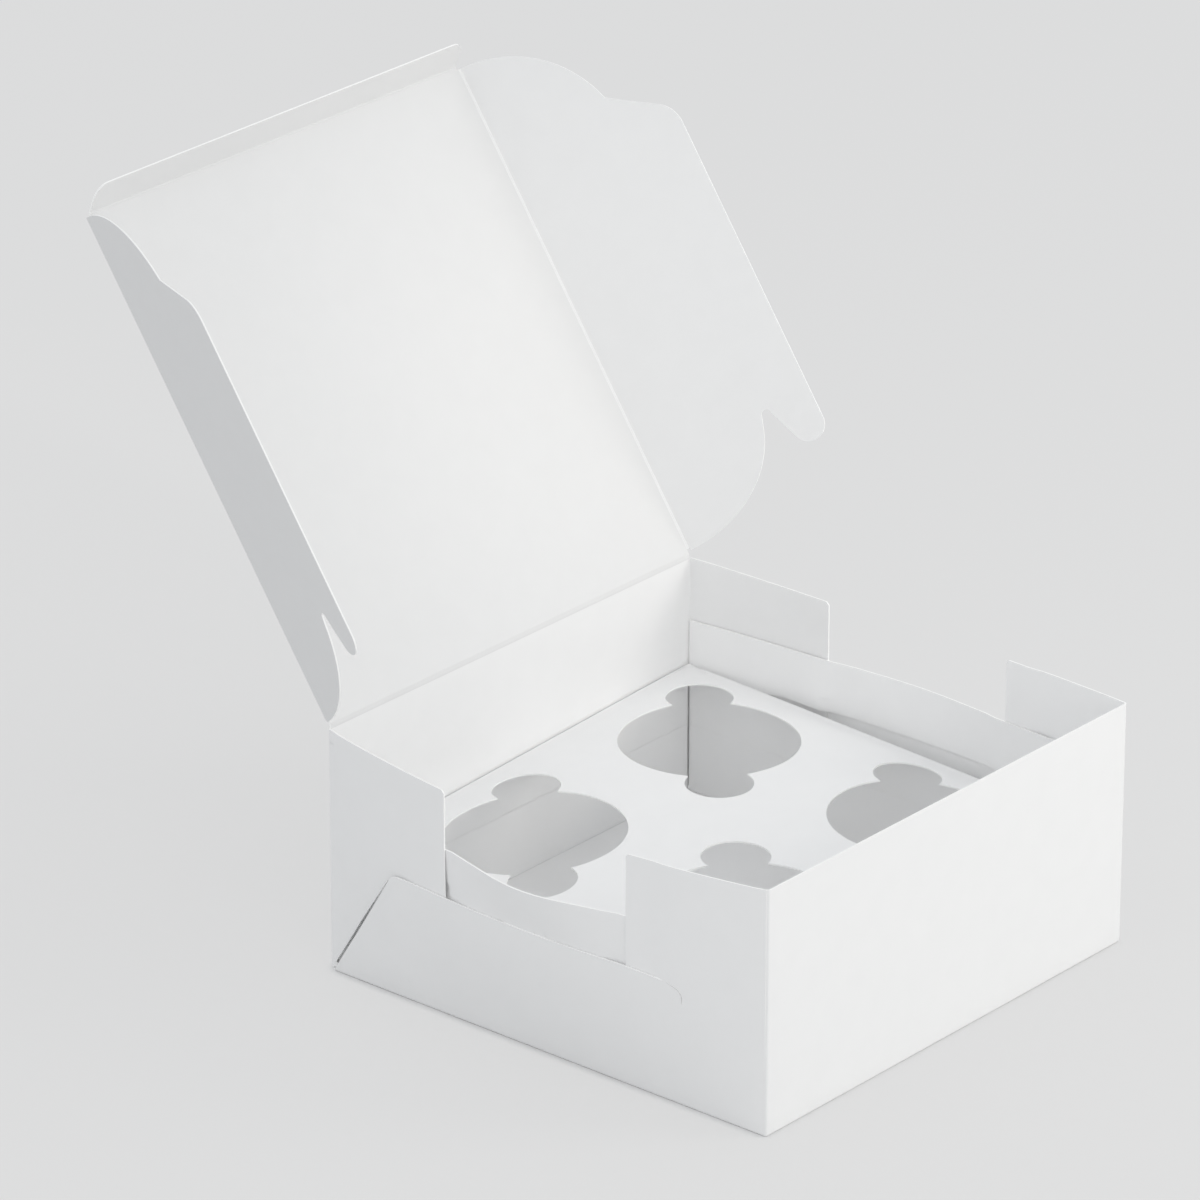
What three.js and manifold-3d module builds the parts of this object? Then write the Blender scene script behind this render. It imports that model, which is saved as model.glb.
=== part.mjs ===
// A folding cupcake box for four cakes, in millimetres, +Z up.
// The origin is the middle of the base, on the surface the box stands on.
// +X is the right-hand side seen from the front, and the lid is hinged on the rear wall (+Y).

import * as THREE from 'three';
import { mergeVertices } from 'three/addons/utils/BufferGeometryUtils.js';
import Module from 'manifold-3d';

const wasm = await Module();
wasm.setup();

// Driving dimensions of the card and the tray
const CARD = 0.45;
const TRAY_WIDTH = 160;
const TRAY_DEPTH = 160;
const WALL_HEIGHT = 74.8;
const REAR_WALL_RISE = 0.4;
const PLY_GAP = 0.15;
const FOLD_RADIUS = 0.8;

// Side walls: each is cut along one line into an outer strip and an inner band
const SLIT_HEIGHT = 40.5;
const SLIT_WIDTH = 0.4;
const SLIT_FRONT_Y = -53.2;
const SLIT_DROOP = 2;
const SLIT_DROOP_START_Y = -28;
const HOOK_RADIUS = 3.6;
const HOOK_DEPTH = 5;
const HOOK_START_DEG = 105;
const BAND_HEIGHT = 55;
const STRIP_REAR_Y = 50;
const STRIP_CORNER_RADIUS = 2.5;

// Corner flaps of the front and rear walls, which close the side walls
const REAR_FLAP_LENGTH = 49.6;
const REAR_FLAP_TAPER = 1.6;
const FRONT_FLAP_LENGTH = 45;
const FRONT_FLAP_TAPER = 0.6;
const FRONT_FLAP_TUCK = 3;
const FLAP_FLOOR_GAP = 0.6;
const FLAP_CORNER = 1;
const JOG_LENGTH = 4;
const GLUE_OVERLAP = 0.55;

// The side walls bow outwards, the left one more than the right one
const BOW = { left: 8.6, right: 4.4 };
const WINDOW_BOW = { left: 4.6, right: 1.2 };
const BOW_RISE = 48;
const BOW_FULLNESS = 0.84;

// Insert: one sheet with four cake holes, standing on folded legs
const INSERT_GAP = 0.45;
const INSERT_EDGE_HEIGHT = 37.9;
const INSERT_TWIST = 3.6;
const INSERT_CROWN = 4.5;
const HOLE_RADIUS = 26.6;
const HOLE_PITCH = 77.5;
const NOTCH_RADIUS = 10;
const NOTCH_OFFSET = 30.4;
const LEG_CORNER_GAP = 0.9;
const LEG_FLOOR_GAP = 0.35;

// Lid, hinged on the rear wall, with two side flaps and a front lip
const LID_OPEN_DEG = 124.5;
const LID_RISE = 0.6;
const HINGE_GAP = 0.1;
const LID_LENGTH = 158.5;
const LID_SIDE_INSET = 0.8;
const FOLD_GAP = 0.5;
const SIDE_FLAP_DEG = 65;
const SIDE_FLAP_DEPTH = 55;
const SIDE_FLAP_AXIS_OFFSET = 0.3;
const REAR_ARC = { reach: 30, depth: 38, start: 1 };
const FRONT_ARC_RADIUS = 38.5;
const FRONT_ARC_GAP = 1;
const TAB_FRONT = 44;
const TAB_CORNER = 9;
const TONGUE_RADIUS = 5.2;
const TONGUE_NOTCH_RADIUS = 1.6;
const TONGUE_NOTCH_SHIFT = 4;
const TONGUE_REACH = 14.3;
const LIP_DEG = 56;
const LIP_DEPTH = 9.8;
const LIP_INSET = 1.4;
const LIP_CORNER = 4.5;

// Grid lines that let a flat panel take its bow
const PANEL_STEP_Y = 10;
const PANEL_STEPS_Z = 6;
const SHEET_STEPS = 20;

// Places that follow from the driving dimensions
const halfWidth = TRAY_WIDTH / 2;
const halfDepth = TRAY_DEPTH / 2;
const plyPitch = CARD + PLY_GAP;
const rearFlapFrontY = halfDepth - REAR_FLAP_LENGTH;
const frontFlapRearY = -halfDepth + FRONT_FLAP_LENGTH;
const slitFrontHeight = SLIT_HEIGHT - SLIT_DROOP;
const jogStartY = SLIT_FRONT_Y - SLIT_WIDTH - JOG_LENGTH / 2;
const insertHalfWidth = halfWidth - 2 * plyPitch - CARD - INSERT_GAP;
const insertHalfDepth = halfDepth - CARD - INSERT_GAP;
const hingeY = halfDepth - CARD / 2;
const rearWallTop = WALL_HEIGHT + REAR_WALL_RISE;
const hingeZ = rearWallTop + LID_RISE;
const sideFoldX = halfWidth - LID_SIDE_INSET + FOLD_GAP / 2;
const lidHalfWidth = sideFoldX - FOLD_GAP / 2;

// Card finishes
const outerCard = new THREE.MeshStandardMaterial({ color: 0xf1f0ee, roughness: 0.62, metalness: 0 });
const lidCard = new THREE.MeshStandardMaterial({ color: 0xecebea, roughness: 0.6, metalness: 0 });
const insertCard = new THREE.MeshStandardMaterial({ color: 0xe9e9e8, roughness: 0.7, metalness: 0 });

// Turn a closed geometry into a solid that can be joined and cut
function toSolid(geometry) {
  const bare = geometry.clone();
  bare.deleteAttribute('normal');
  bare.deleteAttribute('uv');
  const merged = mergeVertices(bare, 1e-4);
  return new wasm.Manifold(new wasm.Mesh({
    numProp: 3,
    vertProperties: new Float32Array(merged.attributes.position.array),
    triVerts: new Uint32Array(merged.index.array),
  }));
}

// Turn a joined or cut solid back into a geometry
function toGeometry(solid) {
  const mesh = solid.getMesh();
  const geometry = new THREE.BufferGeometry();
  geometry.setAttribute('position', new THREE.BufferAttribute(new Float32Array(mesh.vertProperties), 3));
  geometry.setIndex(new THREE.BufferAttribute(new Uint32Array(mesh.triVerts), 1));
  geometry.computeVertexNormals();
  return geometry;
}

// Join a list of solids into one
function join(solids) {
  return solids.reduce((whole, solid) => whole.add(solid));
}

// A closed outline from a list of points
function outline(points) {
  return new THREE.Shape(points.map(([a, b]) => new THREE.Vector2(a, b)));
}

// Points along an arc of an ellipse, angles in degrees
function arc(cx, cy, rx, ry, fromDeg, toDeg, steps) {
  const points = [];
  for (let i = 0; i <= steps; i += 1) {
    const angle = THREE.MathUtils.degToRad(fromDeg + (toDeg - fromDeg) * i / steps);
    points.push([cx + rx * Math.cos(angle), cy + ry * Math.sin(angle)]);
  }
  return points;
}

// A prism whose outline is drawn in the side view (Y, Z), running along X
function sidePrism(points, xLow, xHigh) {
  const geometry = new THREE.ExtrudeGeometry(outline(points), { depth: xHigh - xLow, bevelEnabled: false });
  const toSideView = new THREE.Matrix4().makeBasis(
    new THREE.Vector3(0, 1, 0),
    new THREE.Vector3(0, 0, 1),
    new THREE.Vector3(1, 0, 0),
  );
  geometry.applyMatrix4(toSideView);
  geometry.translate(xLow, 0, 0);
  return geometry;
}

// A prism whose outline is drawn in the plan view (X, Y), running along Z
function planPrism(points, zLow, zHigh) {
  const geometry = new THREE.ExtrudeGeometry(outline(points), { depth: zHigh - zLow, bevelEnabled: false });
  geometry.translate(0, 0, zLow);
  return geometry;
}

// A plain block between two corners, with a grid of steps
function block(low, high, steps = [1, 1, 1]) {
  const size = high.map((value, i) => value - low[i]);
  const geometry = new THREE.BoxGeometry(...size, ...steps);
  geometry.translate(...low.map((value, i) => value + size[i] / 2));
  return geometry;
}

// Move each vertex of a geometry by a function of its place
function warp(geometry, move) {
  const places = geometry.attributes.position;
  const point = new THREE.Vector3();
  for (let i = 0; i < places.count; i += 1) {
    point.fromBufferAttribute(places, i);
    move(point);
    places.setXYZ(i, point.x, point.y, point.z);
  }
  return geometry;
}

// How far a side wall bows outwards at a place, 0 at its folds
function wallBow(side, y, z) {
  const along = Math.sin(Math.PI * THREE.MathUtils.clamp((halfDepth - y) / TRAY_DEPTH, 0, 1));
  const up = Math.sin(Math.PI / 2 * Math.min(z / BOW_RISE, 1));
  return BOW[side] * along ** BOW_FULLNESS * up;
}

// The band bows further out where no corner flap holds it
function windowBow(side, y, z) {
  const t = THREE.MathUtils.clamp((rearFlapFrontY - y) / (rearFlapFrontY - frontFlapRearY), 0, 1);
  const up = THREE.MathUtils.clamp((z - SLIT_HEIGHT / 2) / (BAND_HEIGHT - SLIT_HEIGHT / 2), 0, 1);
  return WINDOW_BOW[side] * Math.sin(Math.PI * t) ** 2 * up;
}

// Grid lines along a side wall, with extra ones where panels change layer
function panelLines() {
  const lines = [jogStartY, jogStartY + JOG_LENGTH / 2, jogStartY + JOG_LENGTH];
  const count = Math.round(TRAY_DEPTH / PANEL_STEP_Y);
  for (let i = 0; i <= count; i += 1) {
    lines.push(-halfDepth + TRAY_DEPTH * i / count);
  }
  return lines.sort((a, b) => a - b);
}

// One upright card panel of a side wall: its outer face lies `inset` inside the wall's outer face
function sidePanel(side, inset, extraBow = () => 0, thickness = CARD) {
  const outer = halfWidth - inset;
  const lines = panelLines();
  const count = lines.length - 1;
  const geometry = block([outer - thickness, 0, 0], [outer, count, WALL_HEIGHT], [1, count, PANEL_STEPS_Z]);
  warp(geometry, (point) => {
    point.y = lines[Math.round(point.y)];
    point.x += wallBow(side, point.y, point.z) + extraBow(point.y, point.z);
  });
  return toSolid(geometry);
}

// The slit's height along the wall, which sinks a little towards its hook
function slitHeight(y) {
  const span = SLIT_DROOP_START_Y - SLIT_FRONT_Y;
  const t = THREE.MathUtils.clamp((SLIT_DROOP_START_Y - y) / span, 0, 1);
  return SLIT_HEIGHT - SLIT_DROOP * t * t;
}

// Points along the slit from the rear to the start of its hook
function slitPoints(yFrom, yTo, lift, steps) {
  const points = [];
  for (let i = 0; i <= steps; i += 1) {
    const y = yFrom + (yTo - yFrom) * i / steps;
    points.push([y, slitHeight(y) + lift]);
  }
  return points;
}

// Outer strip: low, with a slanted rear end, and full height ahead of the hook
function outerStripOutline() {
  const hookCentreY = SLIT_FRONT_Y + HOOK_RADIUS;
  const hookTop = slitFrontHeight;
  return [
    [-halfDepth, 0],
    [halfDepth - CARD, 0],
    [halfDepth - CARD, CARD],
    [STRIP_REAR_Y + STRIP_CORNER_RADIUS, SLIT_HEIGHT - STRIP_CORNER_RADIUS],
    [STRIP_REAR_Y + STRIP_CORNER_RADIUS * 0.5, SLIT_HEIGHT - STRIP_CORNER_RADIUS * 0.4],
    [STRIP_REAR_Y - STRIP_CORNER_RADIUS * 0.6, SLIT_HEIGHT],
    ...slitPoints(SLIT_DROOP_START_Y, hookCentreY, 0, 4),
    ...arc(hookCentreY, hookTop - HOOK_RADIUS, HOOK_RADIUS, HOOK_RADIUS, HOOK_START_DEG, 180, 5),
    [SLIT_FRONT_Y, hookTop - HOOK_DEPTH],
    [SLIT_FRONT_Y - SLIT_WIDTH, hookTop - HOOK_DEPTH],
    [SLIT_FRONT_Y - SLIT_WIDTH, WALL_HEIGHT - FRONT_FLAP_TAPER / 2],
    [-halfDepth, WALL_HEIGHT],
  ];
}

// Front corner flap behind the strip: its lower edge tucks in below the slit
function frontTongueOutline() {
  const rootY = SLIT_FRONT_Y - 2 * JOG_LENGTH;
  const lowest = slitFrontHeight - FRONT_FLAP_TUCK;
  return [
    [rootY, lowest],
    [frontFlapRearY, lowest],
    [frontFlapRearY, WALL_HEIGHT - FRONT_FLAP_TAPER],
    [rootY, WALL_HEIGHT - FRONT_FLAP_TAPER / 2 - CARD / 4],
  ];
}

// Rear corner flap: full height, its top edge falling a little to the front
function rearFlapOutline() {
  return [
    [rearFlapFrontY, CARD + FLAP_FLOOR_GAP],
    [halfDepth, CARD + FLAP_FLOOR_GAP],
    [halfDepth, WALL_HEIGHT],
    [rearFlapFrontY + FLAP_CORNER, WALL_HEIGHT - REAR_FLAP_TAPER],
    [rearFlapFrontY, WALL_HEIGHT - REAR_FLAP_TAPER - FLAP_CORNER],
  ];
}

// Inner band: everything of the side wall above and behind the slit, and its glued front part
function bandOutline() {
  const rear = halfDepth - CARD - PLY_GAP * 2;
  return [
    [-halfDepth + CARD, CARD / 2],
    [SLIT_FRONT_Y - SLIT_WIDTH, CARD / 2],
    [SLIT_FRONT_Y - SLIT_WIDTH, slitFrontHeight - HOOK_DEPTH],
    [SLIT_FRONT_Y, slitFrontHeight - HOOK_DEPTH],
    ...arc(SLIT_FRONT_Y + HOOK_RADIUS, slitFrontHeight - HOOK_RADIUS, HOOK_RADIUS, HOOK_RADIUS, 180, HOOK_START_DEG, 5)
      .map(([y, z]) => [y, z + SLIT_WIDTH]),
    ...slitPoints(SLIT_DROOP_START_Y, SLIT_FRONT_Y + HOOK_RADIUS, SLIT_WIDTH, 4).reverse(),
    [STRIP_REAR_Y - STRIP_CORNER_RADIUS * 0.6, SLIT_HEIGHT + SLIT_WIDTH],
    [STRIP_REAR_Y + STRIP_CORNER_RADIUS, SLIT_HEIGHT - STRIP_CORNER_RADIUS],
    [rear - FLAP_CORNER, CARD + FLAP_FLOOR_GAP],
    [rear, CARD + FLAP_FLOOR_GAP],
    [rear, BAND_HEIGHT],
    [-halfDepth + CARD, BAND_HEIGHT],
  ];
}

// The stretch where the band's root and the front corner flap are glued, two cards thick
function gluedOutline() {
  return [
    [-halfDepth, 0],
    [SLIT_FRONT_Y - SLIT_WIDTH, 0],
    [SLIT_FRONT_Y - SLIT_WIDTH, BAND_HEIGHT],
    [-halfDepth, BAND_HEIGHT],
  ];
}

// All the card of one side wall, built on the +X side
function sideWall(side) {
  const reach = [halfWidth / 2, halfWidth * 2];
  const cut = (panel, points) => panel.intersect(toSolid(sidePrism(points, ...reach)));
  const embed = CARD * GLUE_OVERLAP;

  // A panel leaves the outer ply between the hook and its own layer
  const jog = (depth) => (y) => -depth * THREE.MathUtils.smoothstep(y, jogStartY, jogStartY + JOG_LENGTH);
  const tongueJog = jog(plyPitch - embed);
  const bandJog = jog(plyPitch * 2 - embed);

  const strip = cut(sidePanel(side, 0), outerStripOutline());
  const tongue = cut(sidePanel(side, embed, tongueJog), frontTongueOutline());
  const band = cut(
    sidePanel(side, embed, (y, z) => bandJog(y) + windowBow(side, y, z)),
    bandOutline(),
  );
  const glued = cut(sidePanel(side, 0, () => 0, 2 * CARD), gluedOutline());
  const rearFlap = cut(sidePanel(side, plyPitch), rearFlapOutline());
  return join([strip, glued, tongue, band, rearFlap]);
}

// Base with its front and rear walls, folded up with a small radius
function foldedBase() {
  const profile = [
    ...arc(-halfDepth + FOLD_RADIUS, FOLD_RADIUS, FOLD_RADIUS, FOLD_RADIUS, 180, 270, 4),
    ...arc(halfDepth - FOLD_RADIUS, FOLD_RADIUS, FOLD_RADIUS, FOLD_RADIUS, 270, 360, 4),
    [halfDepth, rearWallTop],
    [halfDepth - CARD, rearWallTop],
    [halfDepth - CARD, CARD],
    [-halfDepth + CARD, CARD],
    [-halfDepth + CARD, WALL_HEIGHT],
    [-halfDepth, WALL_HEIGHT],
  ];
  const rearHalfWidth = halfWidth - plyPitch;
  const frontHalfWidth = halfWidth - CARD / 2;
  const rearHalf = toSolid(sidePrism(profile, -rearHalfWidth, rearHalfWidth));
  const frontHalf = toSolid(sidePrism(profile, -frontHalfWidth, frontHalfWidth))
    .subtract(toSolid(block([-TRAY_WIDTH, 0, CARD + FLAP_FLOOR_GAP], [TRAY_WIDTH, TRAY_DEPTH, 2 * WALL_HEIGHT])));
  return rearHalf.add(frontHalf);
}

// The tray: base, walls and locked side walls of one folded blank
function trayGeometry() {
  const mirror = new THREE.Matrix4().makeScale(-1, 1, 1);
  const right = sideWall('right');
  const left = sideWall('left').transform(mirror.elements);
  return toGeometry(join([foldedBase(), right, left]));
}

// Height of the insert's sheet: twisted corner to corner, and crowned inside its straight edges
function insertHeight(x, y) {
  const acrossX = x / insertHalfWidth;
  const acrossY = y / insertHalfDepth;
  const crown = INSERT_CROWN * (1 - acrossX ** 4) * (1 - acrossY ** 4);
  return INSERT_EDGE_HEIGHT + INSERT_TWIST * acrossX * acrossY + crown;
}

// The insert: a sheet with four notched holes and four legs folded down from its edges
function insertGeometry() {
  const sheet = block(
    [-insertHalfWidth, -insertHalfDepth, -CARD / 2],
    [insertHalfWidth, insertHalfDepth, CARD / 2],
    [SHEET_STEPS, SHEET_STEPS, 1],
  );
  warp(sheet, (point) => {
    point.z += insertHeight(point.x, point.y);
  });
  let solid = toSolid(sheet);
  for (const sideX of [-1, 1]) {
    for (const sideY of [-1, 1]) {
      const cx = sideX * HOLE_PITCH / 2;
      const cy = sideY * HOLE_PITCH / 2;
      const reach = NOTCH_OFFSET * Math.SQRT1_2;
      const top = 2 * WALL_HEIGHT;
      const cuts = [
        planPrism(arc(cx, cy, HOLE_RADIUS, HOLE_RADIUS, 0, 350, 35), CARD, top),
        planPrism(arc(cx + reach, cy + reach, NOTCH_RADIUS, NOTCH_RADIUS, 0, 345, 23), CARD, top),
        planPrism(arc(cx - reach, cy - reach, NOTCH_RADIUS, NOTCH_RADIUS, 0, 345, 23), CARD, top),
      ];
      cuts.forEach((cut) => {
        solid = solid.subtract(toSolid(cut));
      });
    }
  }
  const foot = CARD + LEG_FLOOR_GAP;
  const legs = [];
  for (const side of [-1, 1]) {
    const endY = insertHalfDepth - CARD - LEG_CORNER_GAP;
    const sideLeg = [
      [-endY, foot],
      [endY, foot],
      [endY, insertHeight(side * insertHalfWidth, endY)],
      [-endY, insertHeight(side * insertHalfWidth, -endY)],
    ];
    const xs = [side * insertHalfWidth, side * (insertHalfWidth - CARD)].sort((a, b) => a - b);
    legs.push(toSolid(sidePrism(sideLeg, ...xs)));
    const endX = insertHalfWidth - CARD - LEG_CORNER_GAP;
    const endLeg = [
      [-endX, foot],
      [endX, foot],
      [endX, insertHeight(endX, side * insertHalfDepth)],
      [-endX, insertHeight(-endX, side * insertHalfDepth)],
    ];
    const shape = new THREE.ExtrudeGeometry(outline(endLeg), { depth: CARD, bevelEnabled: false });
    shape.rotateX(Math.PI / 2);
    shape.translate(0, side > 0 ? insertHalfDepth : -insertHalfDepth + CARD, 0);
    legs.push(toSolid(shape));
  }
  return toGeometry(join([solid, ...legs]));
}

// A flat card piece drawn in its own plane, centred on its thickness
function cardPiece(points) {
  const geometry = new THREE.ExtrudeGeometry(outline(points), { depth: CARD, bevelEnabled: false });
  geometry.translate(0, 0, -CARD / 2);
  return toGeometry(toSolid(geometry));
}

// Lid panel, from its hinge to its front fold
function lidGeometry() {
  return cardPiece([
    [-lidHalfWidth, HINGE_GAP],
    [lidHalfWidth, HINGE_GAP],
    [lidHalfWidth, LID_LENGTH - FOLD_GAP],
    [-lidHalfWidth, LID_LENGTH - FOLD_GAP],
  ]);
}

// Side flap outline: distance from its fold, then distance from the lid's hinge
function sideFlapOutline(side) {
  const root = FOLD_GAP / 2;
  const edge = SIDE_FLAP_DEPTH;
  const frontArcCentre = LID_LENGTH - FRONT_ARC_GAP - FRONT_ARC_RADIUS;
  const rearArcCentre = REAR_ARC.start + REAR_ARC.reach;
  const tongueMiddle = edge - TONGUE_RADIUS;
  const tongueRoot = TONGUE_REACH + TONGUE_RADIUS;
  const notchDepth = REAR_ARC.depth + TONGUE_NOTCH_RADIUS;
  const tabFrontY = LID_LENGTH - TAB_FRONT;
  const flap = [
    [root, rearArcCentre - REAR_ARC.reach],
    ...arc(0, rearArcCentre, REAR_ARC.depth, REAR_ARC.reach, -80, -12, 8),
    ...arc(notchDepth, rearArcCentre - TONGUE_NOTCH_SHIFT, TONGUE_NOTCH_RADIUS, TONGUE_NOTCH_RADIUS, 150, 0, 4),
    ...arc(tongueMiddle, tongueRoot, TONGUE_RADIUS, TONGUE_RADIUS, -165, 0, 7),
    ...arc(edge - TAB_CORNER, tabFrontY, TAB_CORNER, TAB_CORNER, 0, 62, 4),
    ...arc(0, frontArcCentre, FRONT_ARC_RADIUS, FRONT_ARC_RADIUS, 18, 88, 9),
    [root, frontArcCentre + FRONT_ARC_RADIUS],
  ];
  return flap.map(([d, r]) => [side * d, r]);
}

// Front lip outline, with rounded outer corners
function lipOutline() {
  const half = lidHalfWidth - LIP_INSET;
  const corner = LIP_CORNER;
  return [
    [-half, FOLD_GAP / 2],
    [half, FOLD_GAP / 2],
    ...arc(half - corner, LIP_DEPTH - corner, corner, corner, 0, 90, 4),
    ...arc(-half + corner, LIP_DEPTH - corner, corner, corner, 90, 180, 4),
  ];
}

// A named mesh
function piece(name, geometry, material) {
  const mesh = new THREE.Mesh(geometry, material);
  mesh.name = name;
  return mesh;
}

// The whole box
const box = new THREE.Group();
box.add(piece('tray', trayGeometry(), outerCard));
box.add(piece('insert', insertGeometry(), insertCard));

// The lid's own frame: Y runs from the hinge to the lip, Z points to the inside
const lidFrame = new THREE.Group();
lidFrame.position.set(0, hingeY, hingeZ);
lidFrame.rotation.x = Math.PI - THREE.MathUtils.degToRad(LID_OPEN_DEG);
lidFrame.add(piece('lid', lidGeometry(), lidCard));

for (const [name, side] of [['lid_side_flap_left', -1], ['lid_side_flap_right', 1]]) {
  const flap = piece(name, cardPiece(sideFlapOutline(side)), lidCard);
  flap.position.set(side * sideFoldX, 0, SIDE_FLAP_AXIS_OFFSET);
  flap.rotation.y = -side * THREE.MathUtils.degToRad(SIDE_FLAP_DEG);
  lidFrame.add(flap);
}

const lip = piece('lid_front_lip', cardPiece(lipOutline()), lidCard);
lip.position.set(0, LID_LENGTH, 0);
lip.rotation.x = THREE.MathUtils.degToRad(LIP_DEG);
lidFrame.add(lip);
box.add(lidFrame);

export default box;
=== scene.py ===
"""A folding cupcake box of white card, standing open: the finished surfaces of every piece.

Lengths are in millimetres while a piece is cut and bent, and each finished mesh is brought to metres.
"""

from __future__ import annotations

import logging
import math
from collections.abc import Callable, Sequence
from dataclasses import dataclass, field
from enum import Enum

import bmesh
import bpy
from mathutils import Matrix, Vector

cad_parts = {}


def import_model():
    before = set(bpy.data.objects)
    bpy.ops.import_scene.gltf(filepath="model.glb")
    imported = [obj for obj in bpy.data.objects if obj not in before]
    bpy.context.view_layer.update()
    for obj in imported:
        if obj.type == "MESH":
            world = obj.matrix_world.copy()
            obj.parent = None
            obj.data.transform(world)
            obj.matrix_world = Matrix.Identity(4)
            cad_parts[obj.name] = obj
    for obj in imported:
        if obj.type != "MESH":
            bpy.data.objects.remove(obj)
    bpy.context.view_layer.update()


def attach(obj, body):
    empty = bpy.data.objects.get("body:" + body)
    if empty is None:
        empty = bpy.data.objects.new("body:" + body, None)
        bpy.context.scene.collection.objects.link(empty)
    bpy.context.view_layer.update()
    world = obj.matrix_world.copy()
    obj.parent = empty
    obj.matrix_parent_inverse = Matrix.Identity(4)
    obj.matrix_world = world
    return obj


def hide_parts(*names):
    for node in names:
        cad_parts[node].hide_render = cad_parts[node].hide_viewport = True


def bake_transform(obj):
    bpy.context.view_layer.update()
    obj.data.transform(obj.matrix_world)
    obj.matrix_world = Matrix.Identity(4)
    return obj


logger = logging.getLogger("cupcake_box")

MM = 0.001
MERGE_MM = 0.01
SHARP_DEG = 40.0
CREASE_BEAD_MM = 0.07

# The strip's upper rear corner: shares of its radius backwards and downwards
STRIP_ROUND = ((1.0, 1.0), (0.85, 0.6), (0.4, 0.2), (-0.4, 0.0))

Point = tuple[float, float]
Spot = tuple[float, float, float]
Place = Callable[[float, float], Vector]


class Side(Enum):
    """The two sides of the box, with the sign of their X."""

    LEFT = -1
    RIGHT = 1


def linear_colour(hex_code: str) -> tuple[float, float, float, float]:
    """Turn an sRGB hex colour into Blender's linear colour.

    Args:
        hex_code: Six hex digits, with or without a leading mark.

    Returns:
        Red, green, blue and alpha, linear.
    """
    digits = hex_code.lstrip("#")
    channels = [int(digits[i:i + 2], 16) / 255 for i in (0, 2, 4)]
    red, green, blue = (c / 12.92 if c <= 0.04045 else ((c + 0.055) / 1.055) ** 2.4 for c in channels)
    return (red, green, blue, 1.0)


def arc(centre: Point, radii: Point, start_deg: float, end_deg: float, steps: int) -> list[Point]:
    """Points along an arc of an ellipse.

    Args:
        centre: Middle of the ellipse.
        radii: Its two half axes.
        start_deg: Angle of the first point.
        end_deg: Angle of the last point.
        steps: Number of chords.

    Returns:
        The points, both ends included.
    """
    points = []
    for i in range(steps + 1):
        angle = math.radians(start_deg + (end_deg - start_deg) * i / steps)
        points.append((centre[0] + radii[0] * math.cos(angle), centre[1] + radii[1] * math.sin(angle)))
    return points


def clamp01(value: float) -> float:
    """Limit a value to the range from 0 to 1."""
    return min(max(value, 0.0), 1.0)


def ease(value: float) -> float:
    """Rise smoothly from 0 to 1 as the value does."""
    t = clamp01(value)
    return t * t * (3 - 2 * t)


def marks(low: float, high: float, step: float) -> list[float]:
    """Places of even grid lines between two ends.

    Args:
        low: First line.
        high: Last line.
        step: Largest distance between lines.

    Returns:
        The lines, both ends included.
    """
    count = max(1, math.ceil((high - low) / step))
    return [low + (high - low) * i / count for i in range(count + 1)]


def mirrored(half: Sequence[Point]) -> list[Point]:
    """Close the right half of an outline with its mirror image."""
    return [*half, *((-u, v) for u, v in reversed(half))]


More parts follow.
